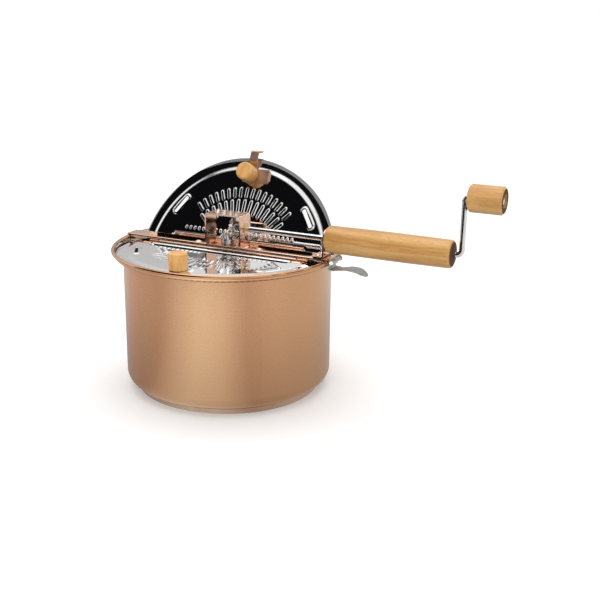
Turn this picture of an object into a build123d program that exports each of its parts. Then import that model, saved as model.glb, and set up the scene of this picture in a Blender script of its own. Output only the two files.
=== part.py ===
from build123d import *
from math import acos, cos, pi, radians, sin, sqrt, tan
import os

# Stovetop popcorn popper: a pot, a lid frame that carries two half lids, a crank with a
# bevel gear pair, a stirrer and a release clip. Millimetres and degrees, +Z up.
# The origin is the centre of the pot's underside. +X points along the handle, +Y to the back.

# ---- Driving dimensions ----

# Pot
pot_radius = 114.3
pot_sheet = 1.0
pot_corner = 13.5
disc_radius = 102.0
disc_height = 7.0
ledge_top = 151.3
neck_bend = 3.0
upstand_radius = 123.2
bead_radius = 2.1
bead_center_radius = 124.8
bead_z = 156.0

# Lids, drawn closed
hinge_y = 18.1
hinge_z = 152.1
hinge_pin_radius = 1.5
roll_radius = 3.1
roll_half_length = 86.0
lid_sheet = 0.8
lid_radius = 121.9
lid_shoulder_out = 112.5
lid_shoulder_in = 106.5
lid_top = 154.7
lid_edge_y = 21.9
back_lid_open = 63.5
vent_center = (80.3, 58.8)
vent_turn = 57.0
vent_length = 28.0
vent_width = 8.5
knob_y = 101.0
knob_radius = 10.3
knob_height = 18.0
knob_screw_reach = 11.0

# Latch under the back knob
latch_sheet = 0.8
latch_plate = (-10.0, 23.5, 92.5, 108.5)
latch_tongue_x = 1.5
latch_tongue_width = 10.0
latch_hook_y = 128.4
latch_hook_bottom = 152.5
latch_flare = (3.1, 3.9)

# Cross bar
bar_half_width = 11.1
bar_sheet = 1.2
bar_top = 159.6
bar_bottom = 151.6
bar_edge = 1.8
bar_left = -128.6
bar_right = 126.6
hook_tab_from = -124.4
hook_tab_half_width = 8.0
hook_lip_top = 153.4
hook_corner = 2.2
trough_left = -104.0
trough_right = 105.0
trough_width = 17.6
trough_depth = 3.5
trough_taper = 20.0
rim_room_inside = 122.2
rim_room_outside = 127.4
knuckle_from = 88.0
knuckle_to = 98.0

# Gear bracket
arch_sheet = 1.6
arch_left = -21.9
arch_right = 21.1
arch_top = 194.3
arch_bend = 2.4
leg_full_from = 161.2
leg_neck_to = 158.5
foot_reach = 22.0
foot_width = 12.0
rivet_x = 38.0
foot_bend = 2.4
spare_hole_z = 168.0
spare_hole_radius = 3.5
spare_ring_radius = 5.0
spare_ring_height = 0.9
bushing_boss = 1.4

# Crank and handle
crank_z = 179.0
rod_radius = 2.8
rod_start = 5.5
arm_x = 264.7
rod_bend = 5.5
rod_knob_bend = 3.6
crank_knob_z = 237.0
rod_end = 299.8
handle_from = 120.3
handle_to = 256.3
handle_radius = 14.7
handle_bore = 3.4
handle_screw_y = 8.0
bracket_foot_from = 106.5
bracket_half_width = 11.0
bracket_rivet_x = 112.0
bracket_rivet_y = 5.4
crank_knob_from = 269.4
crank_knob_to = 303.8
crank_knob_radius = 13.8
knob_counterbore = 6.5

# Bevel gears: the pitch cones meet where the crank axis crosses the pot axis
gear_module = 1.5
drive_teeth = 16
stirrer_teeth = 12
pressure_angle = radians(20)
gear_face = 4.8
addendum = 1.2
dedendum = 1.65
backlash = 0.3
gear_hub_radius = 7.2

# Stirrer
shaft_radius = 3.0
shaft_bottom = 14.0
wire_radius = 1.8
wire_z = 10.9
wire_reach = 97.0
wire_cross_z = 19.0

# Release clip, drawn latched
clip_pin_x = 129.6
clip_pin_z = 157.2
clip_pin_radius = 1.5
clip_ear_radius = 2.9
clip_barrel_radius = 2.35
clip_sheet = 1.0
clip_half_width = 9.7
clip_hook_x = 124.9
clip_hook_z = 152.6
clip_return_z = 148.0
clip_leaf = [(134.0, 148.0), (146.0, 150.2), (156.0, 149.4), (166.4, 144.6)]
clip_leaf_half_width = 9.3
clip_neck_half_width = 6.4

# Small parts and fits
rivet_radius = 2.0
screw_radius = 1.5
lid_screw_radius = 1.8
bushing_radius = 5.0
running_gap = 0.06
hinge_gap = 0.08

underside = bar_top - bar_sheet
trough_floor = bar_top - trough_depth
lid_middle = lid_top - lid_sheet / 2
foot_middle = trough_floor + arch_sheet / 2
nodes = {}


# ---- Shared forms ----

def bent_sheet(points, radii, thickness):
    """Cross section of a bent sheet, from the corners and bend radii of its middle line."""
    return trace(FilletPolyline(*points, radius=radii), line_width=thickness)


def turned(outline, axis=Axis.Z):
    """Solid of revolution from an outline of (radius, height) points."""
    return revolve(Plane.XZ * make_face(Polyline(*outline, close=True)), axis)


def along_x(solid, z=0.0):
    """Turn a solid made along +Z so that it lies along +X at height z."""
    return Pos(0, 0, z) * Rot(0, 90, 0) * solid


def rod_along(points, radii, radius):
    """Round bar bent in the XZ plane."""
    path = Plane.XZ * FilletPolyline(*points, radius=radii)
    section = Plane(origin=path @ 0, z_dir=path % 0) * Circle(radius)
    return sweep(section, path=path)


def tube(outer, inner, length):
    return extrude(Circle(outer) - Circle(inner), length)


def rivet(x, y, top, bottom, head=3.6, head_height=1.5):
    """Domed rivet from the seat of its upper head to the seat of its lower one."""
    dome = 0.45 * head
    outline = [(0, top + head_height), (dome, top + head_height), (head, top + 0.4), (head, top),
               (rivet_radius, top), (rivet_radius, bottom), (head, bottom), (head, bottom - 0.8), (0, bottom - 0.8)]
    return Pos(x, y, 0) * turned(outline)


# ---- Pot ----

def pot_body():
    wall = pot_radius - pot_sheet / 2
    floor = disc_height + pot_sheet / 2
    ledge = ledge_top - pot_sheet / 2
    corners = [(0, floor), (wall, floor), (wall, ledge), (upstand_radius, ledge), (upstand_radius, bead_z)]
    sheet = bent_sheet(corners, [pot_corner, neck_bend, 1.2], pot_sheet)
    bead = Pos(bead_center_radius, bead_z) * Circle(bead_radius)
    return revolve(Plane.XZ * (sheet + bead), Axis.Z)


def base_disc():
    disc = extrude(Circle(disc_radius), disc_height)
    disc = fillet(disc.edges().group_by(Axis.Z)[0], 1.6)
    return chamfer(disc.edges().group_by(Axis.Z)[-1], 0.9)


nodes["pot_body"] = pot_body()
nodes["base_disc"] = base_disc()


# ---- Cross bar with its recess, rim hook, hinge knuckles and clip ears ----

def trough(grow, depth):
    """Long stamped recess with round ends and sloping sides, grown all round by a thickness."""
    length = trough_right - trough_left + 2 * grow
    outline = SlotOverall(length, trough_width + 2 * grow)
    middle = (trough_left + trough_right) / 2
    return Pos(middle, 0, bar_top) * extrude(outline, -depth, taper=trough_taper)


def knuckle(side, end):
    """Curled ear that carries a hinge rod, with the web that joins it to the bar's side."""
    start = knuckle_from if end > 0 else -knuckle_to
    length = knuckle_to - knuckle_from
    ring = Pos(start, side * hinge_y, hinge_z) * Rot(0, 90, 0) * extrude(Circle(roll_radius), length)
    web_from = bar_half_width - bar_sheet / 2
    web_to = hinge_y - hinge_pin_radius
    web_z = bar_bottom + bar_sheet / 2
    web = Pos(start + length / 2, side * (web_from + web_to) / 2, web_z) * Box(length, web_to - web_from, bar_sheet)
    return ring + web


def clip_ear(side):
    """Rounded ear at the bar's right end that holds the clip pin."""
    inner_face = bar_half_width - bar_sheet
    back = bar_right - bar_sheet
    plate = Pos((back + clip_pin_x) / 2, (bar_top + underside) / 2) * Rectangle(clip_pin_x - back, bar_sheet)
    plate += Pos(clip_pin_x, clip_pin_z) * Circle(clip_ear_radius)
    corner = Pos(clip_pin_x - clip_ear_radius / 2, (bar_top + clip_pin_z) / 2)
    plate += corner * Rectangle(clip_ear_radius, bar_top - clip_pin_z)
    ear = extrude(Plane.XZ * plate, bar_sheet)
    return Pos(0, bar_half_width if side > 0 else -inner_face, 0) * ear


def rim_hook():
    """Tab over the rim at the far end, with the lip that hooks under the rolled bead."""
    tab_end = hook_tab_from + 3
    low = hook_lip_top - bar_sheet
    tab = Pos((bar_left + tab_end) / 2, (bar_top + low) / 2) * Rectangle(tab_end - bar_left, bar_top - low)
    hook = extrude(Plane.XZ * tab, hook_tab_half_width, both=True)
    hook = fillet(hook.edges().filter_by(Axis.Y).group_by(Axis.X)[0], hook_corner)
    room = Pos(bar_left + bar_sheet + 10, (underside + hook_lip_top) / 2) * Rectangle(20, underside - hook_lip_top)
    hook -= extrude(Plane.XZ * room, 20, both=True)
    past_lip = Pos(hook_tab_from + 10, (underside + low) / 2) * Rectangle(20, underside - low)
    return hook - extrude(Plane.XZ * past_lip, 20, both=True)


def cross_bar():
    body_length = bar_right - hook_tab_from
    middle = (bar_right + hook_tab_from) / 2
    height = bar_top - bar_bottom
    at_middle = Pos(middle, 0, bar_bottom)
    outer = at_middle * extrude(Rectangle(body_length, 2 * bar_half_width), height)
    outer = fillet(outer.edges().group_by(Axis.Z)[-1], bar_edge)
    hollow_size = Rectangle(body_length - 2 * bar_sheet, 2 * (bar_half_width - bar_sheet))
    hollow = extrude(hollow_size, height - bar_sheet)
    hollow = at_middle * fillet(hollow.edges().group_by(Axis.Z)[-1], bar_edge - bar_sheet)
    hollow -= trough(bar_sheet, trough_depth + bar_sheet)
    bar = outer - hollow - trough(0, trough_depth)
    for side in (-1, 1):
        bar += clip_ear(side)
    # Room for the pot's rolled rim, which the bar's ends pass over
    rim_room = Rectangle(rim_room_outside - rim_room_inside, 30)
    rim_room = Plane.XZ * Pos((rim_room_outside + rim_room_inside) / 2, underside - 15) * rim_room
    ears_from = clip_pin_x - clip_ear_radius
    bar -= revolve(rim_room, Axis.Z) - Pos(ears_from + 10, 0, underside) * Box(20, 60, 40)
    bar += rim_hook()
    for side in (-1, 1):
        for end in (-1, 1):
            bar += knuckle(side, end)
    # Holes for rods, pin, bushing and rivets
    for side in (-1, 1):
        bar -= Pos(0, side * hinge_y, hinge_z) * Rot(0, 90, 0) * Cylinder(hinge_pin_radius, 300)
    bar -= Pos(clip_pin_x, 0, clip_pin_z) * Rot(90, 0, 0) * Cylinder(clip_pin_radius, 60)
    bar -= Pos(0, 0, trough_floor) * Cylinder(bushing_radius, 10)
    for x in (-rivet_x, rivet_x):
        bar -= Pos(x, 0, trough_floor) * Cylinder(rivet_radius, 10)
    for y in (-bracket_rivet_y, bracket_rivet_y):
        bar -= Pos(bracket_rivet_x, y, bar_top) * Cylinder(rivet_radius, 10)
    return bar


nodes["cross_bar"] = cross_bar()


# ---- Arch bracket over the gears ----

def gear_bracket():
    top = arch_top - arch_sheet / 2
    corners = [(arch_left - foot_reach, foot_middle), (arch_left, foot_middle), (arch_left, top),
               (arch_right, top), (arch_right, foot_middle), (arch_right + foot_reach, foot_middle)]
    strip = bent_sheet(corners, [foot_bend, arch_bend, arch_bend, foot_bend], arch_sheet)
    arch = extrude(Plane.XZ * strip, bar_half_width, both=True)
    # The legs narrow to the feet, which lie in the bar's recess
    neck = foot_width / 2
    full = bar_half_width
    low, high = trough_floor - 5, arch_top + 5
    front = Polyline((-neck, low), (neck, low), (neck, leg_neck_to), (full, leg_full_from), (full, high),
                     (-full, high), (-full, leg_full_from), (-neck, leg_neck_to), close=True)
    arch &= extrude(Plane.YZ * make_face(front), 80, both=True)
    middle = (arch_left + arch_right) / 2
    span = arch_right - arch_left
    plan = Rectangle(span + 6, 2 * bar_half_width) + SlotOverall(span + 2 * foot_reach, foot_width)
    arch &= Pos(middle, 0, 140) * extrude(plan, 80)
    # Raised ring round the lower hole of the right leg
    at_spare_hole = Pos(arch_right, 0, spare_hole_z) * Rot(0, 90, 0)
    arch += at_spare_hole * extrude(Circle(spare_ring_radius), arch_sheet / 2 + spare_ring_height)
    arch -= at_spare_hole * Cylinder(spare_hole_radius, 10)
    arch -= Pos(arch_right, 0, crank_z) * Rot(0, 90, 0) * Cylinder(bushing_radius, 10)
    for x in (-rivet_x, rivet_x):
        arch -= Pos(x, 0, foot_middle) * Cylinder(rivet_radius, 10)
    return arch


foot_top = trough_floor + arch_sheet
nodes["gear_bracket"] = gear_bracket()
nodes["bracket_rivets"] = Compound([rivet(x, 0, foot_top, trough_floor - bar_sheet).solid()
                                    for x in (-rivet_x, rivet_x)])


# ---- Bearings ----

def rod_bushing():
    inner_face = arch_right - arch_sheet / 2
    bore = rod_radius + running_gap
    outline = [(bore, inner_face - 0.8), (7.0, inner_face - 0.8), (7.0, inner_face),
               (bushing_radius, inner_face), (bushing_radius, inner_face + arch_sheet + bushing_boss),
               (bore, inner_face + arch_sheet + bushing_boss)]
    return along_x(turned(outline), crank_z)


def shaft_bushing():
    under = trough_floor - bar_sheet
    bore = shaft_radius + running_gap
    return turned([(bore, under - 0.9), (7.5, under - 0.9), (7.5, under),
                   (bushing_radius, under), (bushing_radius, trough_floor + 0.2), (bore, trough_floor + 0.2)])


nodes["rod_bushing"] = rod_bushing()
nodes["shaft_bushing"] = shaft_bushing()


# ---- Handle and its bracket ----

def handle_bracket():
    plate = handle_from - arch_sheet / 2
    foot_z = bar_top + arch_sheet / 2
    corners = [(bracket_foot_from, foot_z), (plate, foot_z), (plate, crank_z + 20)]
    strip = Plane.XZ * bent_sheet(corners, [2.5], arch_sheet)
    angle = extrude(strip, bracket_half_width, both=True)
    straight = Rectangle(2 * bracket_half_width, 2 * (crank_z - bar_top))
    face = Pos(0, crank_z) * Circle(bracket_half_width) + Pos(0, bar_top) * straight
    angle &= extrude(Plane.YZ * face, 200)
    angle = fillet(angle.edges().filter_by(Axis.Z).group_by(Axis.X)[0], 3.0)
    angle -= Pos(plate, 0, crank_z) * Rot(0, 90, 0) * Cylinder(rod_radius + running_gap, 10)
    for y in (-handle_screw_y, handle_screw_y):
        angle -= Pos(plate, y, crank_z) * Rot(0, 90, 0) * Cylinder(screw_radius, 10)
    for y in (-bracket_rivet_y, bracket_rivet_y):
        angle -= Pos(bracket_rivet_x, y, bar_top) * Cylinder(rivet_radius, 10)
    return angle


def handle():
    """Turned grip with a slight swell, round shoulders and a bore for the crank rod."""
    length = handle_to - handle_from
    end_radius = handle_radius - 0.5
    side = ThreePointArc((end_radius, 0), (handle_radius, length / 2), (end_radius, length))
    rest = Polyline((end_radius, length), (0, length), (0, 0), (end_radius, 0))
    grip = revolve(Plane.XZ * make_face(side + rest), Axis.Z)
    grip = fillet(grip.edges().filter_by(GeomType.CIRCLE), 3.2)
    grip -= Cylinder(handle_bore, 3 * length)
    grip = Pos(handle_from, 0, 0) * Rot(0, 90, 0) * grip
    for y in (-handle_screw_y, handle_screw_y):
        grip -= Pos(handle_from, y, 0) * Rot(0, 90, 0) * Cylinder(screw_radius, 2 * 18.0)
    return Pos(0, 0, crank_z) * grip


def handle_screw(y):
    head_seat = handle_from - arch_sheet
    outline = [(0, head_seat - 1.5), (1.9, head_seat - 1.5), (2.9, head_seat - 0.6), (2.9, head_seat),
               (screw_radius, head_seat), (screw_radius, handle_from + 14.5), (0, handle_from + 17.5)]
    return Pos(0, y, 0) * along_x(turned(outline), crank_z)


nodes["handle_bracket"] = handle_bracket()
nodes["handle_rivets"] = Compound([rivet(bracket_rivet_x, y, bar_top + arch_sheet, underside, head=3.2).solid()
                                   for y in (-bracket_rivet_y, bracket_rivet_y)])
nodes["handle"] = handle()
nodes["handle_screws"] = Compound([handle_screw(y).solid() for y in (-handle_screw_y, handle_screw_y)])


# ---- Hinge rods and clip pin ----

def headed_pin(radius, half_length, head_radius, head_height):
    """Pin along +Z with an upset head at each end."""
    end = half_length + head_height
    return turned([(0, -end), (head_radius, -end), (head_radius, -half_length), (radius, -half_length),
                   (radius, half_length), (head_radius, half_length), (head_radius, end), (0, end)])


def hinge_rod(side):
    pin = headed_pin(hinge_pin_radius, knuckle_to, 2.3, 1.2)
    return Pos(0, side * hinge_y, hinge_z) * Rot(0, 90, 0) * pin


nodes["front_hinge_rod"] = hinge_rod(-1)
nodes["back_hinge_rod"] = hinge_rod(1)
clip_pin = headed_pin(clip_pin_radius, bar_half_width, 2.3, 1.0)
nodes["clip_pin"] = Pos(clip_pin_x, 0, clip_pin_z) * Rot(90, 0, 0) * clip_pin


# ---- Bevel gears ----

def bevel_gear(teeth, mate_teeth, hub_radius, hub_end, bore, start_angle):
    """Straight bevel gear on +Z with the pitch cone's tip at the origin."""
    pitch = gear_module * teeth / 2
    depth = gear_module * mate_teeth / 2
    cone = sqrt(pitch ** 2 + depth ** 2)
    lean, rise = pitch / cone, depth / cone
    back_cone = pitch / rise
    base_circle = back_cone * cos(pressure_angle)
    shrink = (cone - gear_face) / cone

    def half_angle(radius):
        """Half of the tooth's angle on the back cone at this radius, from the involute."""
        roll = acos(min(1.0, base_circle / radius))
        at_pitch = (pi * gear_module / 2 - backlash) / (2 * back_cone)
        return at_pitch + tan(pressure_angle) - pressure_angle - tan(roll) + roll

    root = back_cone - dedendum
    heights = [root - 0.5, back_cone - 0.6 * dedendum, back_cone, back_cone + 0.55 * addendum, back_cone + addendum]
    flank = []
    for height in heights:
        angle = half_angle(height)
        across, out = height * sin(angle), height * cos(angle) - back_cone
        flank.append((pitch + out * rise, across, depth - out * lean))
    outline = flank + [(x, -y, z) for x, y, z in reversed(flank)]
    toe = [(x * shrink, y * shrink, z * shrink) for x, y, z in outline]
    tooth = loft([make_face(Polyline(*ring, close=True)) for ring in (outline, toe)], ruled=True)

    root_r, root_z = pitch - dedendum * rise, depth + dedendum * lean
    back = (root_r - 0.8 * rise, root_z + 0.8 * lean)
    blank = turned([(bore, root_z * shrink), (root_r * shrink, root_z * shrink), (root_r, root_z), back,
                    (hub_radius, back[1] + 0.8), (hub_radius, hub_end), (bore, hub_end)])
    step = 360 / teeth
    ring = [Rot(0, 0, start_angle + step * i) * tooth for i in range(teeth)]
    return blank.fuse(*[t.solid() for t in ring]).clean()


hub_bottom = trough_floor + 0.5
drive_hub_end = arch_right - arch_sheet / 2 - 1.2
drive = bevel_gear(drive_teeth, stirrer_teeth, gear_hub_radius, drive_hub_end, rod_radius, 0)
driven_hub_end = crank_z - hub_bottom
driven = bevel_gear(stirrer_teeth, drive_teeth, gear_hub_radius, driven_hub_end, shaft_radius, 180 / stirrer_teeth)
drive_pin_x = drive_hub_end - 2.4
driven_pin_z = hub_bottom + 2.4
pin_length = 2 * gear_hub_radius - 0.6
drive_pin_hole = Pos(drive_pin_x, 0, crank_z) * Cylinder(1.0, pin_length)
driven_pin_hole = Pos(0, 0, driven_pin_z) * Rot(90, 0, 0) * Cylinder(1.0, pin_length)
nodes["drive_gear"] = along_x(drive, crank_z) - drive_pin_hole
nodes["stirrer_gear"] = Pos(0, 0, crank_z) * Rot(180, 0, 0) * driven - driven_pin_hole
nodes["drive_gear_pin"] = drive_pin_hole
nodes["stirrer_gear_pin"] = driven_pin_hole


# ---- Crank ----

def crank_rod():
    corners = [(rod_start, crank_z), (arm_x, crank_z), (arm_x, crank_knob_z), (rod_end, crank_knob_z)]
    return rod_along(corners, [rod_bend, rod_knob_bend], rod_radius) - drive_pin_hole


def crank_knob():
    """Turned knob with a running bore and a counterbore that hides the retainer."""
    length = crank_knob_to - crank_knob_from
    knob = extrude(Circle(crank_knob_radius), length)
    knob = chamfer(knob.edges(), 1.8)
    knob -= Pos(0, 0, length / 2) * Cylinder(rod_radius + hinge_gap, 2 * length)
    knob -= Pos(0, 0, length - knob_counterbore) * extrude(Circle(6.9), 20)
    return Pos(crank_knob_from, 0, crank_knob_z) * Rot(0, 90, 0) * knob


def knob_retainer():
    seat = crank_knob_to - knob_counterbore + 0.3
    outline = [(rod_radius, seat), (5.8, seat), (5.8, rod_end + 0.6), (4.2, rod_end + 1.6), (0, rod_end + 1.9),
               (0, rod_end), (rod_radius, rod_end)]
    return along_x(turned(outline), crank_knob_z)


nodes["crank_rod"] = crank_rod()
nodes["crank_knob"] = crank_knob()
nodes["knob_retainer"] = knob_retainer()
washer_from = arm_x + rod_knob_bend
nodes["knob_washer"] = Pos(washer_from, 0, crank_knob_z) * Rot(0, 90, 0) * tube(6.5, rod_radius, 0.8)


# ---- Stirrer ----

washer_top = trough_floor - bar_sheet - 0.9 - 0.2
clip_top = washer_top - 0.8 - 0.1


def stirrer_wire():
    """One wire through the shaft: down to the floor, out along it and up at the ends."""
    half = [(16, wire_cross_z), (26, wire_z), (wire_reach - 3, wire_z), (wire_reach, 27)]
    corners = [(-x, z) for x, z in reversed(half)] + half
    return rod_along(corners, [5, 9, 9, 9, 9, 5], wire_radius)


def stirrer_shaft():
    top = crank_z - 7.4
    shaft = Pos(0, 0, shaft_bottom) * extrude(Circle(shaft_radius), top - shaft_bottom)
    shaft = chamfer(shaft.edges().filter_by(GeomType.CIRCLE), 0.5)
    shaft -= Pos(0, 0, clip_top - 0.8) * tube(shaft_radius + 1, 2.3, 0.8)
    shaft -= Pos(0, 0, wire_cross_z) * Rot(0, 90, 0) * Cylinder(wire_radius, 20)
    return shaft - driven_pin_hole


def shaft_clip():
    """Spring clip in the shaft's groove, open on one side."""
    ring = tube(5.6, 2.3, 0.8)
    ring -= Pos(4, 0, 0.4) * Box(8, 4.2, 2)
    return Pos(0, 0, clip_top - 0.8) * ring


nodes["stirrer_shaft"] = stirrer_shaft()
nodes["stirrer_wire"] = stirrer_wire()
nodes["shaft_washer"] = Pos(0, 0, washer_top - 0.8) * tube(7.0, shaft_radius + 0.05, 0.8)
nodes["shaft_clip"] = shaft_clip()


# ---- Half lids, drawn closed on the +Y side ----

def lid_panel():
    flange = ledge_top + 0.3 + lid_sheet / 2
    corners = [(0, lid_middle), (lid_shoulder_in, lid_middle), (lid_shoulder_out, flange), (lid_radius, flange)]
    panel = revolve(Plane.XZ * bent_sheet(corners, [2.0, 2.0], lid_sheet), Axis.Z)
    for side in (-1, 1):
        x, y = side * vent_center[0], vent_center[1]
        pill = Pos(x, y, lid_middle) * Rot(0, 0, -side * vent_turn)
        panel += pill * extrude(SlotOverall(vent_length, vent_width), lid_sheet / 2 + 1.1, taper=20)
        panel -= pill * extrude(SlotOverall(vent_length - 6, 3.4), 6, both=True)
    half = Pos(0, hinge_y + 100, lid_middle) * Box(2 * roll_half_length, 200, 20)
    half += Pos(0, lid_edge_y + 100, lid_middle) * Box(300, 200, 20)
    panel &= half
    roll = extrude(Circle(roll_radius), roll_half_length, both=True)
    panel += Pos(0, hinge_y, hinge_z) * Rot(0, 90, 0) * roll
    panel -= Pos(0, hinge_y, hinge_z) * Rot(0, 90, 0) * Cylinder(hinge_pin_radius + hinge_gap, 300)
    panel -= Pos(0, knob_y, lid_middle) * Cylinder(lid_screw_radius, 10)
    return panel


def lid_knob(seat):
    """Turned knob with a small swell and a blind screw hole from below."""
    low, high = knob_radius - 0.5, knob_radius
    side = ThreePointArc((low, 0), (high, knob_height / 2), (low, knob_height))
    knob = revolve(Plane.XZ * make_face(side + Polyline((low, knob_height), (0, knob_height), (0, 0), (low, 0))))
    circles = knob.edges().filter_by(GeomType.CIRCLE).sort_by(Axis.Z)
    knob = fillet(circles[-1:], 1.8)
    knob = fillet(knob.edges().filter_by(GeomType.CIRCLE).sort_by(Axis.Z)[:1], 0.8)
    knob -= Cylinder(lid_screw_radius, 2 * (knob_screw_reach + 1))
    return Pos(0, knob_y, seat) * knob


def knob_screw(tip):
    seat = lid_top - lid_sheet
    outline = [(0, seat - 1.7), (2.2, seat - 1.7), (3.4, seat - 0.7), (3.4, seat),
               (lid_screw_radius, seat), (lid_screw_radius, tip), (0, tip)]
    return Pos(0, knob_y, 0) * turned(outline)


def lid_latch():
    """Strip under the back knob: a plate, a tongue over the rim and a flared hook."""
    seat = lid_top + latch_sheet / 2
    over_rim = bead_z + bead_radius + 0.5 + latch_sheet / 2
    left, right, near, far = latch_plate
    rise = knob_y + knob_radius + 1.2
    corners = [(near - 5, seat), (rise, seat), (rise + 4, over_rim), (latch_hook_y, over_rim),
               (latch_hook_y, latch_hook_bottom),
               (latch_hook_y + latch_flare[0], latch_hook_bottom - latch_flare[1])]
    strip = extrude(Plane.YZ * bent_sheet(corners, [1.5, 1.5, 1.6, 3.0], latch_sheet), 30, both=True)
    plate = Pos((left + right) / 2, (near + far) / 2) * RectangleRounded(right - left, far - near, 2.5)
    tongue = Pos(latch_tongue_x, far + 10) * Rectangle(latch_tongue_width, 30)
    strip &= Pos(0, 0, 140) * extrude(plate + tongue, 40)
    ear = Pos(right - latch_sheet / 2, (near + far) / 2 + 1, seat + 1.2) * Box(latch_sheet, 10.5, 2.4 + latch_sheet)
    return strip + ear - Pos(0, knob_y, seat) * Cylinder(lid_screw_radius, 10)


closed_front = Rot(0, 0, 180)
open_back = Pos(0, hinge_y, hinge_z) * Rot(back_lid_open, 0, 0) * Pos(0, -hinge_y, -hinge_z)
panel = lid_panel()
nodes["front_lid_panel"] = closed_front * panel
nodes["front_lid_knob"] = closed_front * lid_knob(lid_top)
nodes["front_knob_screw"] = closed_front * knob_screw(lid_top + knob_screw_reach)
nodes["back_lid_panel"] = open_back * panel
nodes["back_lid_knob"] = open_back * lid_knob(lid_top + latch_sheet)
nodes["back_knob_screw"] = open_back * knob_screw(lid_top + knob_screw_reach)
nodes["lid_latch"] = open_back * lid_latch()


# ---- Release clip ----

def release_clip():
    """Spring strip: a barrel on the pin, a hairpin hook under the rim and a finger leaf."""
    leg = clip_pin_x - clip_barrel_radius + clip_sheet / 2
    nose = clip_hook_x + clip_sheet / 2
    top = clip_hook_z - clip_sheet / 2
    corners = [(leg, clip_pin_z), (leg, top), (nose, top), (nose, clip_return_z)] + clip_leaf
    strip = bent_sheet(corners, [0.9, 1.3, 1.9, 9, 16, 20], clip_sheet)
    strip += Pos(clip_pin_x, clip_pin_z) * Circle(clip_barrel_radius)
    clip = extrude(Plane.XZ * strip, clip_half_width, both=True)
    root = Pos(126, 0) * Rectangle(12, 2 * clip_half_width)
    narrow, wide = clip_neck_half_width, clip_leaf_half_width
    sides = [(131, 8.5), (136, narrow), (153, wide)]
    neck = make_face(Polyline(*sides, *[(x, -y) for x, y in reversed(sides)], close=True))
    spoon = Pos(153, 0) * Ellipse(13.4, wide)
    clip &= Pos(0, 0, 130) * extrude(root + neck + spoon, 40)
    return clip - Pos(clip_pin_x, 0, clip_pin_z) * Rot(90, 0, 0) * Cylinder(clip_pin_radius + hinge_gap, 40)


nodes["release_clip"] = release_clip()


# ---- Write one file for each node ----

os.makedirs("parts", exist_ok=True)
for name, shape in nodes.items():
    export_step(shape, f"parts/{name}.step")
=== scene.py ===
import bpy
from math import asin, cos, hypot, pi, radians, sin
from mathutils import Matrix, Vector


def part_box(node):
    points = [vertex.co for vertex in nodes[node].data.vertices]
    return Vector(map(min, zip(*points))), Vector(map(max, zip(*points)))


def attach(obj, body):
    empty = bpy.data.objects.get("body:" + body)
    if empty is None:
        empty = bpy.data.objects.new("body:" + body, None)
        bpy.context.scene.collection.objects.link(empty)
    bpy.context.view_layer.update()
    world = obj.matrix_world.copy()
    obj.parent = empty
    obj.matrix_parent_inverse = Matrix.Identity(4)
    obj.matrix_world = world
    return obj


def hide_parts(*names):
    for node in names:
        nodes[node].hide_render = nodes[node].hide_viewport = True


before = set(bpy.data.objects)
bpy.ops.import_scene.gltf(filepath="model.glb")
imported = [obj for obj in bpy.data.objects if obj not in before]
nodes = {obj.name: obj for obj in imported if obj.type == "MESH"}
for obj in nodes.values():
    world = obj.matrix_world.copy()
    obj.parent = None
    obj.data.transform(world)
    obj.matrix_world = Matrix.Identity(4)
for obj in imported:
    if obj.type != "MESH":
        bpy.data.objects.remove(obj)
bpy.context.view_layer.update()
MM = 0.001

# ---- Places, in metres, worked out from the CAD frame ----

KNOB_CRANK_Z = (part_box("crank_knob")[0].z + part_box("crank_knob")[1].z) / 2
HINGE_Y = (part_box("back_hinge_rod")[0].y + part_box("back_hinge_rod")[1].y) / 2
HINGE_Z = (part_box("back_hinge_rod")[0].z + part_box("back_hinge_rod")[1].z) / 2
OPEN_ANGLE = radians(63.5)


# ---- Camera: the photograph's own angle ----

CAMERA_PLACE = Vector((0.5283, -0.9115, 0.4202))
CAMERA_AZIMUTH = radians(25.74)
CAMERA_ELEVATION = radians(17.17)
CAMERA_ROLL = radians(0.71)
FOCAL_PIXELS = 981.2
IMAGE_SIDE = 600
SENSOR = 36.0


def make_camera():
    data = bpy.data.cameras.new("photo_camera")
    data.sensor_width = SENSOR
    data.lens = SENSOR * FOCAL_PIXELS / IMAGE_SIDE
    data.clip_start = 0.01
    data.clip_end = 50
    camera = bpy.data.objects.new("photo_camera", data)
    bpy.context.scene.collection.objects.link(camera)
    flat = cos(CAMERA_ELEVATION)
    back = Vector((sin(CAMERA_AZIMUTH) * flat, -cos(CAMERA_AZIMUTH) * flat, sin(CAMERA_ELEVATION)))
    right = Vector((cos(CAMERA_AZIMUTH), sin(CAMERA_AZIMUTH), 0))
    turn = Matrix((right, back.cross(right), back)).transposed()
    turn = turn @ Matrix.Rotation(CAMERA_ROLL, 3, "Z")
    camera.matrix_world = Matrix.Translation(CAMERA_PLACE) @ turn.to_4x4()
    bpy.context.scene.camera = camera


# ---- Materials ----

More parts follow.
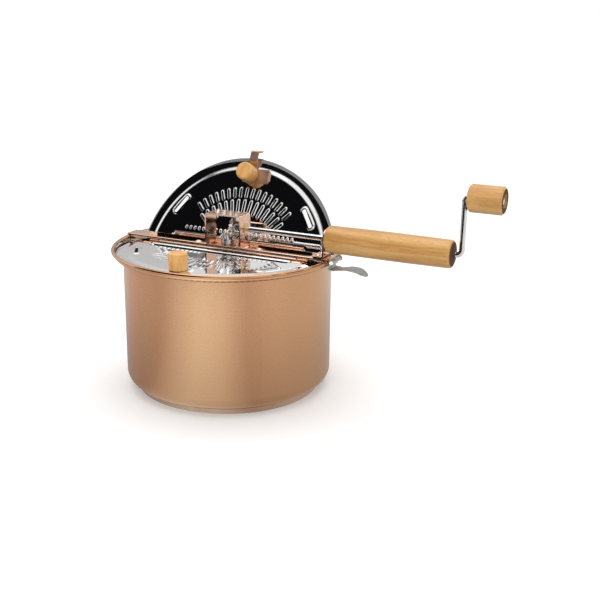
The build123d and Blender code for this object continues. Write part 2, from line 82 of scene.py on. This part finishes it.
class Material:
    """A node material built step by step; its sockets are linked by name."""

    def __init__(self, name):
        self.material = bpy.data.materials.new(name)
        self.material.use_nodes = True
        self.tree = self.material.node_tree
        self.tree.nodes.clear()
        self.output = self.tree.nodes.new("ShaderNodeOutputMaterial")
        self.shader = self.add("ShaderNodeBsdfPrincipled")
        self.tree.links.new(self.shader.outputs[0], self.output.inputs["Surface"])
        texture = self.add("ShaderNodeTexCoord")
        self.coords, self.normals = texture.outputs["Object"], texture.outputs["Normal"]

    def add(self, kind, **settings):
        node = self.tree.nodes.new(kind)
        for key, value in settings.items():
            setattr(node, key, value)
        return node

    def link(self, source, node, socket):
        self.tree.links.new(source, node.inputs[socket])

    def set(self, **values):
        """Plain values on the shader's own sockets; underscores stand for spaces."""
        for key, value in values.items():
            self.shader.inputs[key.replace("_", " ")].default_value = value

    def place(self, location=(0, 0, 0), rotation=(0, 0, 0), scale=(1, 1, 1), source=None):
        mapping = self.add("ShaderNodeMapping")
        mapping.inputs["Location"].default_value = location
        mapping.inputs["Rotation"].default_value = rotation
        mapping.inputs["Scale"].default_value = scale
        self.link(source or self.coords, mapping, "Vector")
        return mapping.outputs[0]

    def noise(self, vector, scale, detail=3.0, roughness=0.55, distortion=0.0):
        node = self.add("ShaderNodeTexNoise")
        node.inputs["Scale"].default_value = scale
        node.inputs["Detail"].default_value = detail
        node.inputs["Roughness"].default_value = roughness
        node.inputs["Distortion"].default_value = distortion
        self.link(vector, node, "Vector")
        return node.outputs["Fac"]

    def span(self, value, low, high, to_low=0.0, to_high=1.0):
        node = self.add("ShaderNodeMapRange", clamp=True)
        for key, number in zip(("From Min", "From Max", "To Min", "To Max"), (low, high, to_low, to_high)):
            node.inputs[key].default_value = number
        self.link(value, node, "Value")
        return node.outputs[0]

    def ramp(self, value, stops):
        node = self.add("ShaderNodeValToRGB")
        elements = node.color_ramp.elements
        while len(elements) < len(stops):
            elements.new(0.5)
        for element, (place, color) in zip(elements, stops):
            element.position = place
            element.color = (*color, 1)
        self.link(value, node, "Fac")
        return node.outputs["Color"]

    def mix(self, fac, a, b):
        """Colour mix; a and b are sockets or plain colours."""
        node = self.add("ShaderNodeMix", data_type="RGBA")
        self.link(fac, node, "Factor")
        for index, value in ((6, a), (7, b)):
            if isinstance(value, tuple):
                node.inputs[index].default_value = (*value, 1)
            else:
                self.tree.links.new(value, node.inputs[index])
        return node.outputs[2]

    def math(self, operation, a, b=0.0, c=0.0):
        node = self.add("ShaderNodeMath", operation=operation)
        for index, value in enumerate((a, b, c)):
            if isinstance(value, (int, float)):
                node.inputs[index].default_value = value
            else:
                self.tree.links.new(value, node.inputs[index])
        return node.outputs[0]

    def bump(self, height, strength, distance):
        node = self.add("ShaderNodeBump")
        node.inputs["Strength"].default_value = strength
        node.inputs["Distance"].default_value = distance
        self.link(height, node, "Height")
        self.link(node.outputs[0], self.shader, "Normal")

    def color(self, source):
        self.link(source, self.shader, "Base Color")

    def roughness(self, source):
        self.link(source, self.shader, "Roughness")

    def around_axis(self, stretch_round=1.0, stretch_up=1.0):
        """Coordinates unrolled round the pot's axis, so that lines follow the turning."""
        parts = self.add("ShaderNodeSeparateXYZ")
        self.link(self.coords, parts, "Vector")
        angle = self.math("ARCTAN2", parts.outputs["Y"], parts.outputs["X"])
        radius = self.math("SQRT", self.math("ADD", self.math("POWER", parts.outputs["X"], 2.0),
                                             self.math("POWER", parts.outputs["Y"], 2.0)))
        joined = self.add("ShaderNodeCombineXYZ")
        self.link(self.math("MULTIPLY", angle, stretch_round), joined, "X")
        self.link(radius, joined, "Y")
        self.link(self.math("MULTIPLY", parts.outputs["Z"], stretch_up), joined, "Z")
        return joined.outputs[0], radius, parts.outputs["Z"]


COPPER = (0.70, 0.385, 0.215)
COPPER_DEEP = (0.66, 0.355, 0.195)
STEEL = (0.72, 0.71, 0.69)
WALL_MIDDLE = 0.1138
RIM_INSIDE_RADIUS = 0.1229
LEDGE_MIDDLE = 0.1508
FLOOR_MIDDLE = 0.0075
CORNER_RADIUS = 0.0135


def inside_of_pot(m, radius, height):
    """1 on the inner face of the pot's sheet, 0 on the outer one: it follows the wall, corner and rim."""
    over = m.math("SUBTRACT", radius, WALL_MIDDLE - CORNER_RADIUS)
    under = m.math("SUBTRACT", FLOOR_MIDDLE + CORNER_RADIUS, height)
    corner = m.math("SQRT", m.math("ADD", m.math("POWER", m.math("MAXIMUM", over, 0.0), 2.0),
                                   m.math("POWER", m.math("MAXIMUM", under, 0.0), 2.0)))
    bowl = m.math("LESS_THAN", corner, CORNER_RADIUS)
    inside_rim = m.math("LESS_THAN", radius, RIM_INSIDE_RADIUS)
    rim = m.math("MULTIPLY", inside_rim, m.math("GREATER_THAN", height, LEDGE_MIDDLE))
    return m.math("MAXIMUM", bowl, rim)


def pot_copper():
    """Satin copper plating with fine polishing lines round the pot, bare steel inside."""
    m = Material("pot_copper")
    m.set(Metallic=1.0)
    unrolled, radius, height = m.around_axis(0.02, 1.0)
    lines = m.noise(unrolled, 900, 4, 0.6)
    cloud = m.noise(m.coords, 7, 2, 0.5)
    tone = m.mix(m.span(cloud, 0.35, 0.68), COPPER, COPPER_DEEP)
    m.color(m.mix(inside_of_pot(m, radius, height), tone, STEEL))
    satin = m.span(lines, 0.3, 0.75, 0.245, 0.285)
    polished_rim = m.span(height, 0.1515, 0.1530, 1.0, 0.25)
    m.roughness(m.math("MULTIPLY", satin, polished_rim))
    m.bump(lines, 0.012, 0.0003)
    return m.material


def base_copper():
    """The heat disc: copper-coloured rim, brushed steel underneath with cooking tint."""
    m = Material("base_copper")
    m.set(Metallic=1.0)
    unrolled, radius, height = m.around_axis(0.02, 1.0)
    rings = m.noise(unrolled, 700, 3, 0.6)
    cloud = m.noise(m.coords, 14, 4, 0.6)
    under = m.math("LESS_THAN", height, 0.0008)
    tone = m.mix(m.span(cloud, 0.3, 0.7), (0.55, 0.33, 0.22), (0.74, 0.47, 0.33))
    m.color(m.mix(under, tone, STEEL))
    m.roughness(m.span(rings, 0.3, 0.7, 0.28, 0.42))
    m.bump(rings, 0.1, 0.0004)
    return m.material


def polished_steel():
    """Mirror-bright lid sheet with faint waviness and hairline scratches."""
    m = Material("polished_steel")
    m.set(Metallic=1.0)
    waves = m.noise(m.coords, 26, 2, 0.4)
    hairs = m.noise(m.place(rotation=(0, 0, 0.5), scale=(1, 14, 1)), 420, 2, 0.6)
    m.color(m.ramp(waves, [(0.3, (0.80, 0.80, 0.80)), (0.7, (0.87, 0.865, 0.86))]))
    m.roughness(m.span(hairs, 0.4, 0.8, 0.035, 0.085))
    m.bump(waves, 0.06, 0.002)
    return m.material


def bright_copper():
    """Bright copper plating on pressed strip, faintly clouded, with drawing lines along X."""
    m = Material("bright_copper")
    m.set(Metallic=1.0)
    mottle = m.noise(m.coords, 16, 2, 0.5)
    draw = m.noise(m.place(scale=(0.06, 1, 1)), 600, 3, 0.6)
    m.color(m.ramp(mottle, [(0.3, (0.76, 0.47, 0.33)), (0.7, (0.84, 0.57, 0.44))]))
    m.roughness(m.span(draw, 0.3, 0.75, 0.10, 0.14))
    m.bump(mottle, 0.008, 0.0008)
    return m.material


def satin_copper_strip():
    """The latch's strip: copper plating over brushed steel, duller than the bar."""
    m = Material("satin_copper_strip")
    m.set(Metallic=1.0)
    brush = m.noise(m.place(scale=(0.05, 1, 1)), 900, 3, 0.6)
    cloud = m.noise(m.coords, 60, 3, 0.5)
    m.color(m.ramp(cloud, [(0.3, (0.56, 0.34, 0.24)), (0.7, (0.72, 0.47, 0.35))]))
    m.roughness(m.span(brush, 0.3, 0.75, 0.42, 0.56))
    m.bump(brush, 0.05, 0.0003)
    return m.material


def plated_rod(name, along, tint=(0.80, 0.80, 0.80)):
    """Bright steel bar with faint drawing lines along it."""
    m = Material(name)
    m.set(Metallic=1.0)
    scale = tuple(0.03 if i == along else 1.0 for i in range(3))
    lines = m.noise(m.place(scale=scale), 1500, 2, 0.6)
    spots = m.noise(m.coords, 60, 3, 0.6)
    m.color(m.ramp(spots, [(0.3, tuple(0.9 * c for c in tint)), (0.7, tint)]))
    m.roughness(m.span(lines, 0.3, 0.8, 0.08, 0.20))
    m.bump(lines, 0.05, 0.0003)
    return m.material


def die_cast():
    """Bright zinc casting with a slightly grainy skin."""
    m = Material("die_cast")
    m.set(Metallic=1.0)
    grain = m.noise(m.coords, 900, 4, 0.7)
    cloud = m.noise(m.coords, 120, 2, 0.5)
    m.color(m.ramp(cloud, [(0.3, (0.62, 0.62, 0.62)), (0.7, (0.82, 0.81, 0.80))]))
    m.roughness(m.span(grain, 0.3, 0.75, 0.16, 0.34))
    m.bump(grain, 0.12, 0.0003)
    return m.material


def spring_strip():
    """Satin stainless strip, brushed along its length."""
    m = Material("spring_strip")
    m.set(Metallic=1.0)
    brush = m.noise(m.place(scale=(0.05, 1, 1)), 1400, 3, 0.6)
    cloud = m.noise(m.coords, 70, 2, 0.5)
    m.color(m.ramp(cloud, [(0.3, (0.44, 0.42, 0.39)), (0.7, (0.54, 0.52, 0.49))]))
    m.roughness(m.span(brush, 0.3, 0.75, 0.24, 0.36))
    m.bump(brush, 0.12, 0.0003)
    return m.material


def turned_brass():
    """Yellow metal of the bushings, with fine uneven tone."""
    m = Material("turned_brass")
    m.set(Metallic=1.0)
    rings = m.noise(m.coords, 1100, 2, 0.6)
    m.color(m.ramp(rings, [(0.3, (0.68, 0.50, 0.25)), (0.7, (0.80, 0.62, 0.34))]))
    m.roughness(m.span(rings, 0.3, 0.75, 0.18, 0.32))
    return m.material


def plated_fastener():
    """Copper-toned rivets and screws with slightly worn plating."""
    m = Material("plated_fastener")
    m.set(Metallic=1.0)
    spots = m.noise(m.coords, 260, 3, 0.6)
    m.color(m.ramp(spots, [(0.3, (0.66, 0.47, 0.36)), (0.7, (0.84, 0.66, 0.55))]))
    m.roughness(m.span(spots, 0.3, 0.75, 0.16, 0.34))
    m.bump(spots, 0.05, 0.0004)
    return m.material


WOOD_DARK = (0.36, 0.155, 0.035)
WOOD_MID = (0.57, 0.285, 0.078)
WOOD_LIGHT = (0.74, 0.43, 0.155)
# The end-face colour is partly the real darker end grain and partly painted shade.
WOOD_END_AND_SHADE = (0.10, 0.038, 0.012)


def turned_wood(name, center, turn, light_gain=1.0, end_shade=1.0):
    """Varnished honey-coloured wood: grain along the local X axis, short dark flecks, darker end grain with
    painted shade on the end faces.
    """
    m = Material(name)
    local = m.place(location=tuple(-c for c in center))
    local = m.place(rotation=turn, source=local)
    warp = m.noise(m.place(scale=(0.25, 1, 1), source=local), 30, 2, 0.5)
    shifted = m.add("ShaderNodeVectorMath", operation="ADD")
    m.link(local, shifted, 0)
    bend = m.add("ShaderNodeCombineXYZ")
    m.link(m.math("MULTIPLY", warp, 0.014), bend, "Y")
    m.link(m.math("MULTIPLY", warp, 0.012), bend, "Z")
    m.link(bend.outputs[0], shifted, 1)
    bent = shifted.outputs[0]
    rings = m.noise(m.place(scale=(0.03, 0.4, 1), source=bent), 170, 2, 0.5, 0.6)
    fibre = m.noise(m.place(scale=(0.03, 1, 1), source=bent), 1100, 4, 0.6)
    pores = m.noise(m.place(scale=(0.2, 1, 1), source=bent), 1100, 2, 0.5)
    broad = m.noise(m.place(scale=(0.35, 1, 1), source=local), 45, 2, 0.5)
    grain = m.math("ADD", m.math("MULTIPLY", rings, 0.42), m.math("MULTIPLY", fibre, 0.34))
    grain = m.math("ADD", grain, m.math("MULTIPLY", broad, 0.32))
    # The gain makes a lighter copy of the same wood: painted light.
    light = tuple(min(0.92, light_gain * c) for c in WOOD_LIGHT)
    middle = tuple(light_gain * c for c in WOOD_MID)
    dark = tuple(light_gain * c for c in WOOD_DARK)
    body = m.ramp(grain, [(0.38, dark), (0.51, middle), (0.68, light)])
    speck = m.span(pores, 0.57, 0.68)
    flecked = m.mix(m.math("MULTIPLY", speck, 0.4), body, tuple(0.6 * c for c in middle))
    facing = m.add("ShaderNodeSeparateXYZ")
    m.link(m.place(rotation=turn, source=m.normals), facing, "Vector")
    # Faces across the grain get the end colour: darker end grain plus painted shade.
    end_grain_and_shade = m.span(m.math("ABSOLUTE", facing.outputs["X"]), 0.75, 0.97, 0.0, end_shade)
    m.color(m.mix(end_grain_and_shade, flecked, WOOD_END_AND_SHADE))
    varnish = m.math("SUBTRACT", 1.0, end_grain_and_shade)
    m.roughness(m.math("ADD", m.span(fibre, 0.3, 0.8, 0.32, 0.46), m.math("MULTIPLY", end_grain_and_shade, 0.4)))
    m.link(m.math("MULTIPLY", varnish, 0.35), m.shader, "Coat Weight")
    m.set(Coat_Roughness=0.2, IOR=1.45)
    m.bump(m.math("SUBTRACT", grain, m.math("MULTIPLY", speck, 0.5)), 0.08, 0.0004)
    return m.material


def paint(material, *names):
    """Give CAD nodes or pieces this material in their only slot."""
    for name in names:
        data = nodes[name].data if isinstance(name, str) else name.data
        data.materials.clear()
        data.materials.append(material)


# ---- Meshes ----

def add_mesh(name, points, faces, smooth=True):
    mesh = bpy.data.meshes.new(name)
    mesh.from_pydata([tuple(p) for p in points], [], faces)
    mesh.validate()
    mesh.update()
    mesh.polygons.foreach_set("use_smooth", [smooth] * len(mesh.polygons))
    piece = bpy.data.objects.new(name, mesh)
    bpy.context.scene.collection.objects.link(piece)
    return piece


def apply_modifiers(piece):
    """Turn a piece's modifiers into its mesh."""
    graph = bpy.context.evaluated_depsgraph_get()
    done = bpy.data.meshes.new_from_object(piece.evaluated_get(graph))
    piece.modifiers.clear()
    piece.data = done
    return piece


# ---- Half lids: pressed sheet with a shoulder, arcs of pressed dashes and vent pills ----

LID_SHEET = 0.8 * MM
LID_SEGMENTS = 300
LID_RADIUS = 121.9 * MM
LID_TOP = 154.7 * MM
FLANGE_TOP = 152.4 * MM
SHOULDER_IN = 106.5 * MM
SHOULDER_OUT = 112.7 * MM
# The sheet leaves its roll low on the side and rises to the flat beyond a narrow channel.
EDGE_Y = HINGE_Y + 2.3 * MM
CHANNEL_DEPTH = 2.4 * MM
CHANNEL_WIDTH = 8.5 * MM
NOTCH_Y = 21.9 * MM
NOTCH_RADIUS = 87.9 * MM
ROLL_RADIUS = 3.1 * MM
ROLL_BORE_RADIUS = 1.58 * MM
ROLL_SEAM = radians(16)
ROLL_HALF = 86.0 * MM
VENT = Vector((80.3 * MM, 58.8 * MM))
VENT_TURN = radians(57)
VENT_HALF = 9.75 * MM
VENT_RIM = 4.25 * MM
VENT_SLOT = 1.7 * MM
VENT_RISE = 1.1 * MM
# Arcs of short radial dashes: radius of the middle, dash half length, count and angle between dashes.
DASH_ARCS = ((80.0 * MM, 4.6 * MM, 17, radians(5.4)), (64.0 * MM, 6.6 * MM, 15, radians(6.6)))
DASH_HALF_WIDTH = 1.7 * MM
DASH_RISE = 0.6 * MM
FLANGE_CROWN = 0.3 * MM
FLANGE_SLOPE = 0.9 * MM
PIP_Y = 33.0 * MM
PIP_STEP = 5.6 * MM
PIP_COLUMNS = range(3, 13)
PIP_HALF = 0.9 * MM
PIP_RADIUS = 1.3 * MM
PIP_RISE = 0.7 * MM
# Each pressed form rises to its full height between these distances outside and inside its edge.
PRESS_OUTSIDE = 0.5 * MM
PRESS_INSIDE = 0.8 * MM


def smooth_step(x, low, high):
    t = min(1.0, max(0.0, (x - low) / (high - low)))
    return t * t * (3 - 2 * t)


def stadium_distance(x, y, middle, direction, half):
    """Distance from a point to the straight core of a round-ended shape."""
    dx, dy = x - middle[0], y - middle[1]
    along = max(-half, min(half, dx * direction[0] + dy * direction[1]))
    return hypot(dx - along * direction[0], dy - along * direction[1])


def press_features():
    """(middle, direction, half length, half width, rise) of each straight pressed form."""
    forms = []
    for side in (-1, 1):
        turn = radians(90) + side * (radians(90) - VENT_TURN)
        forms.append(((side * VENT.x, VENT.y), (cos(turn), sin(turn)), VENT_HALF, VENT_RIM, VENT_RISE))
    for reach, half, count, step in DASH_ARCS:
        for i in range(count):
            angle = pi / 2 + (i - (count - 1) / 2) * step
            direction = (cos(angle), sin(angle))
            middle = (reach * direction[0], reach * direction[1])
            forms.append((middle, direction, half, DASH_HALF_WIDTH, DASH_RISE))
    for side in (-1, 1):
        for i in PIP_COLUMNS:
            forms.append(((side * i * PIP_STEP, PIP_Y), (0.0, 1.0), PIP_HALF, PIP_RADIUS, PIP_RISE))
    return forms


PRESSED = press_features()


def lid_height(x, y):
    """Height of the lid sheet's upper face over the point, in the closed position."""
    r = hypot(x, y)
    shoulder_drop = LID_TOP - FLANGE_TOP - FLANGE_SLOPE
    height = LID_TOP - shoulder_drop * smooth_step(r, SHOULDER_IN - 0.4 * MM, SHOULDER_OUT)
    for middle, direction, half, width, rise in PRESSED:
        d = stadium_distance(x, y, middle, direction, half)
        if d < width + PRESS_OUTSIDE:
            height += rise * smooth_step(width - d, -PRESS_OUTSIDE, PRESS_INSIDE)
    beside_roll = 1 - smooth_step(y, EDGE_Y, EDGE_Y + CHANNEL_WIDTH)
    along_roll = 1 - smooth_step(abs(x), ROLL_HALF - 5 * MM, ROLL_HALF + 1 * MM)
    height -= CHANNEL_DEPTH * beside_roll * along_roll
    out = min(1.0, (r - SHOULDER_OUT) / (LID_RADIUS - SHOULDER_OUT))
    if out > 0:
        height += FLANGE_CROWN * sin(pi * out) - FLANGE_SLOPE * out
    return height


def ring_radii():
    """Radii of the lid's mesh rings: close together where the sheet bends."""
    radii = [EDGE_Y]
    zones = ((33 * MM, 1.5 * MM), (92 * MM, 0.8 * MM), (SHOULDER_IN - 1 * MM, 1.6 * MM),
             (SHOULDER_OUT + 1 * MM, 0.5 * MM), (LID_RADIUS - 1 * MM, 1.5 * MM), (LID_RADIUS, 0.5 * MM))
    for limit, step in zones:
        while radii[-1] < limit - 0.3 * step:
            radii.append(min(limit, radii[-1] + step))
    return radii


def in_slot(x, y):
    """Signed distance to the nearest vent slot; negative inside it."""
    return min(stadium_distance(x, y, middle, direction, half) - VENT_SLOT
               for middle, direction, half, width, rise in PRESSED[:2])


def snap_to_slot(x, y):
    """Nearest point on the outline of the vent slot close to this point."""
    step = 0.01 * MM
    d = in_slot(x, y)
    slope = Vector(((in_slot(x + step, y) - d) / step, (in_slot(x, y + step) - d) / step))
    return (x - d * slope.x, y - d * slope.y)


def lid_sheet(name, place, body):
    """Half lid as one closed sheet, drawn closed on the +Y side and then put in place."""
    radii = ring_radii()
    across = LID_SEGMENTS
    points = []
    for r in radii:
        edge = EDGE_Y if r < NOTCH_RADIUS else NOTCH_Y
        start = asin(min(1.0, edge / r))
        for i in range(across + 1):
            angle = start + (pi - 2 * start) * i / across
            points.append((r * cos(angle), r * sin(angle)))
    row = across + 1
    quads = []
    for j in range(len(radii) - 1):
        for i in range(across):
            quads.append((j * row + i, (j + 1) * row + i, (j + 1) * row + i + 1, j * row + i + 1))
    keep, gone = [], set()
    for quad in quads:
        cx = sum(points[k][0] for k in quad) / 4
        cy = sum(points[k][1] for k in quad) / 4
        if in_slot(cx, cy) < 0:
            gone.update(quad)
        else:
            keep.append(quad)
    kept_points = {k for quad in keep for k in quad}
    for k in gone & kept_points:
        points[k] = snap_to_slot(*points[k])
    order = {k: n for n, k in enumerate(sorted(kept_points))}
    solid = [(points[k][0], points[k][1], lid_height(*points[k])) for k in sorted(kept_points)]
    faces = [tuple(order[k] for k in quad) for quad in keep]
    piece = add_mesh(name, solid, faces)
    bpy.context.view_layer.update()
    weld = piece.modifiers.new("weld", "WELD")
    weld.merge_threshold = 0.01 * MM
    thick = piece.modifiers.new("thick", "SOLIDIFY")
    thick.thickness = LID_SHEET
    thick.offset = -1.0
    thick.use_even_offset = True
    apply_modifiers(piece)
    piece.data.transform(place)
    return finish_piece(piece, body)


def finish_piece(piece, body):
    piece.data.update()
    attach(piece, body)
    return piece


def lid_roll(name, place, body):
    """Straight edge of the lid rolled into a tube round its hinge rod, with a visible seam."""
    turns = 40
    angles = [radians(90) + ROLL_SEAM + (2 * pi - ROLL_SEAM) * i / turns for i in range(turns + 1)]
    outside = [ROLL_RADIUS * Vector((cos(a), sin(a))) for a in angles]
    inside = [ROLL_BORE_RADIUS * Vector((cos(a), sin(a))) for a in reversed(angles)]
    section = [(HINGE_Y + point.x, HINGE_Z + point.y) for point in outside + inside]
    return extruded_x(name, section, -ROLL_HALF, ROLL_HALF, place, body)


def extruded_x(name, section, start, end, place, body):
    count = len(section)
    points = [(x, y, z) for x in (start, end) for y, z in section]
    faces = [(i, (i + 1) % count, count + (i + 1) % count, count + i) for i in range(count)]
    half = count // 2
    for i in range(half - 1):
        low = (i, i + 1, count - 2 - i, count - 1 - i)
        faces.append(low[::-1])
        faces.append(tuple(count + k for k in low))
    piece = add_mesh(name, points, faces)
    piece.data.set_sharp_from_angle(angle=radians(40))
    piece.data.transform(place)
    return finish_piece(piece, body)


FRONT_PLACE = Matrix.Rotation(pi, 4, "Z")
HINGE = Matrix.Translation((0, HINGE_Y, HINGE_Z))
BACK_PLACE = HINGE @ Matrix.Rotation(OPEN_ANGLE, 4, "X") @ HINGE.inverted()


def make_lids(material):
    for name, place, body in (("front", FRONT_PLACE, "front_lid"), ("back", BACK_PLACE, "back_lid")):
        sheet = lid_sheet(name + "_lid_sheet", place, body)
        roll = lid_roll(name + "_lid_roll", place, body)
        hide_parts(name + "_lid_panel")
        paint(material, sheet, roll)


# ---- Domed cap over the rod end, in the crank knob's counterbore ----

# Place along the rod and radius, in millimetres, from the flat back to the top of the dome.
CAP_PROFILE = ((298.7, 0.0), (298.7, 4.6), (299.0, 5.0), (301.3, 5.0),
               (302.1, 4.5), (302.7, 3.3), (303.0, 1.7), (303.1, 0.0))


def rod_end_cap(material):
    around = 40
    points, faces = [], []
    for x, radius in CAP_PROFILE:
        for i in range(around):
            turn = 2 * pi * i / around
            points.append((x * MM, radius * MM * cos(turn), KNOB_CRANK_Z + radius * MM * sin(turn)))
    for j in range(len(CAP_PROFILE) - 1):
        for i in range(around):
            k = (i + 1) % around
            faces.append((j * around + i, j * around + k, (j + 1) * around + k, (j + 1) * around + i))
    piece = add_mesh("rod_end_cap", points, faces)
    bpy.context.view_layer.update()
    weld = piece.modifiers.new("weld", "WELD")
    weld.merge_threshold = 0.01 * MM
    apply_modifiers(piece)
    piece.data.set_sharp_from_angle(angle=radians(40))
    finish_piece(piece, "crank")
    paint(material, piece)


# ---- Light and floor ----

# Strength of the table's light close to the pot and far from it, and the distances where each holds.
NEAR_AND_FAR = (0.92, 1.62)
NEAR, FAR = 0.12, 0.52
# Heading from the pot, in degrees from -Y towards +X, and the table's light there.
TABLE_GLOW = [(-180, (0.50, 0.57, 0.62)), (-85, (0.47, 0.46, 0.47)), (-38, (0.45, 0.43, 0.42)),
              (-18, (0.68, 0.72, 0.74)), (2, (0.84, 0.98, 1.00)), (22, (0.78, 0.86, 0.88)),
              (46, (0.51, 0.49, 0.48)), (75, (0.56, 0.57, 0.56)), (130, (0.52, 0.54, 0.54)),
              (180, (0.50, 0.57, 0.62))]
FLOOR_HALF = 30


def flat_board(name, low, high, z):
    """Level rectangle between two corners."""
    corners = [(low[0], low[1], z), (high[0], low[1], z), (high[0], high[1], z), (low[0], high[1], z)]
    return add_mesh(name, corners, [(0, 1, 2, 3)], smooth=False)


def add_floor():
    floor = flat_board("floor", (-FLOOR_HALF, -FLOOR_HALF), (FLOOR_HALF, FLOOR_HALF), 0)
    floor.visible_glossy = False
    floor.visible_diffuse = False
    m = Material("floor_white")
    m.set(Roughness=0.8, Specular_IOR_Level=0.0, Emission_Color=(1, 1, 1, 1), Emission_Strength=0.08)
    speck = m.noise(m.coords, 3, 2, 0.5)
    m.color(m.ramp(speck, [(0.3, (0.93, 0.93, 0.93)), (0.7, (0.95, 0.95, 0.95))]))
    floor.data.materials.append(m.material)


def card(name, place, toward, width, height, color, glow=0.0):
    """A flat studio card facing a point, seen only in reflections, for the metal's bright and dark bands."""
    board = flat_board(name, (-width / 2, -height / 2), (width / 2, height / 2), 0)
    direction = Vector(toward) - Vector(place)
    board.rotation_mode = "QUATERNION"
    board.rotation_quaternion = direction.to_track_quat("Z", "Y")
    board.location = place
    reflect_only(board, name, color, glow)
    return board


def reflect_only(board, name, color, glow):
    """Hide a card from everything but reflections."""
    board.visible_camera = False
    board.visible_diffuse = False
    board.visible_shadow = False
    m = Material(name + "_card")
    m.set(Roughness=1.0, Specular_IOR_Level=0.0, Emission_Color=(1, 1, 1, 1), Emission_Strength=glow)
    m.set(Base_Color=(*color, 1))
    board.data.materials.append(m.material)


def dark_room(name, half, z, shade):
    """Level card far round the pot, under the table's card: the dark room past the table."""
    board = card(name, (0, 0, z), (0, 0, z + 1), 2 * half, 2 * half, (shade, shade, shade))
    board.visible_diffuse = True


def lit_table(name, low, high, z):
    """The white table top as the wall mirrors it: its light follows the heading and is less near the pot."""
    board = flat_board(name, low, high, z)
    board.visible_camera = False
    board.visible_shadow = False
    m = Material(name + "_light")
    m.set(Base_Color=(0, 0, 0, 1), Roughness=1.0, Specular_IOR_Level=0.0)
    parts = m.add("ShaderNodeSeparateXYZ")
    m.link(m.coords, parts, "Vector")
    heading = m.math("ARCTAN2", parts.outputs["X"], m.math("MULTIPLY", parts.outputs["Y"], -1.0))
    glow = m.ramp(m.span(heading, -pi, pi), [((h + 180) / 360, color) for h, color in TABLE_GLOW])
    distance = m.add("ShaderNodeVectorMath", operation="LENGTH")
    m.link(m.coords, distance, 0)
    m.link(glow, m.shader, "Emission Color")
    m.link(m.span(distance.outputs["Value"], NEAR, FAR, *NEAR_AND_FAR), m.shader, "Emission Strength")
    board.data.materials.append(m.material)


def area_light(name, place, toward, width, height, power, mirrored=True):
    data = bpy.data.lights.new(name, "AREA")
    data.shape = "RECTANGLE"
    data.size = width
    data.size_y = height
    data.energy = power
    light = bpy.data.objects.new(name, data)
    bpy.context.scene.collection.objects.link(light)
    light.location = place
    light.visible_glossy = mirrored
    light.rotation_mode = "QUATERNION"
    light.rotation_quaternion = (Vector(place) - Vector(toward)).to_track_quat("Z", "Y")
    return light


def make_studio():
    world = bpy.data.worlds.new("studio")
    bpy.context.scene.world = world
    world.use_nodes = True
    background = world.node_tree.nodes["Background"]
    background.inputs["Color"].default_value = (1, 1, 1, 1)
    background.inputs["Strength"].default_value = 1.0
    bpy.context.scene.view_settings.view_transform = "Standard"
    area_light("overhead", (-0.2, 0.3, 1.7), (0, 0, 0.1), 1.4, 1.2, 6)
    area_light("front_fill", (0.7, -1.9, 1.0), (0.1, 0, 0.15), 1.2, 1.2, 9, mirrored=False)
    lit_table("table_top", (-0.9, -0.85), (2.2, 2.2), -0.002)
    dark_room("dark_room", 4, -0.004, 0.02)
    card("back_wall", (-0.9, 3.2, 1.9), (-0.2, 0, 1.9), 9.5, 4.2, (0.80, 0.79, 0.79), 0.06)
    card("behind_camera", (-0.75, -1.15, 0.95), (0.0, 0.04, 0.2), 1.7, 1.1, (0.008, 0.008, 0.009))
    card("grey_surround", (-0.82, -1.25, 1.0), (0.0, 0.04, 0.2), 2.5, 1.9, (0.44, 0.44, 0.44))
    card("low_front", (0.1, -1.6, 0.2), (0, 0, 0.2), 3.4, 0.7, (0.02, 0.02, 0.02))
    card("arm_flag", (0.224, -0.113, 0.168), (0.265, 0, 0.205), 0.16, 0.06, (0.01, 0.01, 0.01))
    card("right_side", (1.5, 0.1, 0.25), (0, 0, 0.1), 0.5, 1.0, (0.05, 0.03, 0.02))


# ---- Put it together ----

make_camera()
make_studio()
add_floor()

steel_lid = polished_steel()
copper_strip = bright_copper()
rod_x = plated_rod("rod_along_x", 0)
rod_z = plated_rod("rod_along_z", 2)
fastener = plated_fastener()
brass = turned_brass()
spring = spring_strip()
casting = die_cast()

paint(pot_copper(), "pot_body")
paint(base_copper(), "base_disc")
paint(copper_strip, "cross_bar", "gear_bracket", "handle_bracket")
paint(satin_copper_strip(), "lid_latch")
paint(rod_x, "crank_rod", "front_hinge_rod", "back_hinge_rod", "clip_pin", "knob_washer", "knob_retainer")
paint(rod_z, "stirrer_shaft", "shaft_washer", "drive_gear_pin", "stirrer_gear_pin")
paint(plated_rod("rod_stirrer", 0), "stirrer_wire")
paint(fastener, "bracket_rivets", "handle_rivets", "handle_screws", "front_knob_screw", "back_knob_screw")
paint(brass, "rod_bushing", "shaft_bushing")
paint(spring, "release_clip", "shaft_clip")
paint(casting, "drive_gear", "stirrer_gear")


def node_center(name):
    low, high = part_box(name)
    return tuple((low + high) / 2)


UPRIGHT = (0, radians(90), 0)
ON_OPEN_LID = (OPEN_ANGLE, radians(90), 0)
paint(turned_wood("handle_wood", node_center("handle"), (0.4, 0, 0)), "handle")
paint(turned_wood("crank_knob_wood", node_center("crank_knob"), (1.1, 0, 0)), "crank_knob")
# The knobs take lighter copies of the handle's wood, the front one lightest: painted light.
front_wood = turned_wood("front_knob_wood", node_center("front_lid_knob"), UPRIGHT, light_gain=1.3, end_shade=0.0)
back_wood = turned_wood("back_knob_wood", node_center("back_lid_knob"), ON_OPEN_LID, light_gain=1.15, end_shade=0.0)
paint(front_wood, "front_lid_knob")
paint(back_wood, "back_lid_knob")
make_lids(steel_lid)
rod_end_cap(rod_x)
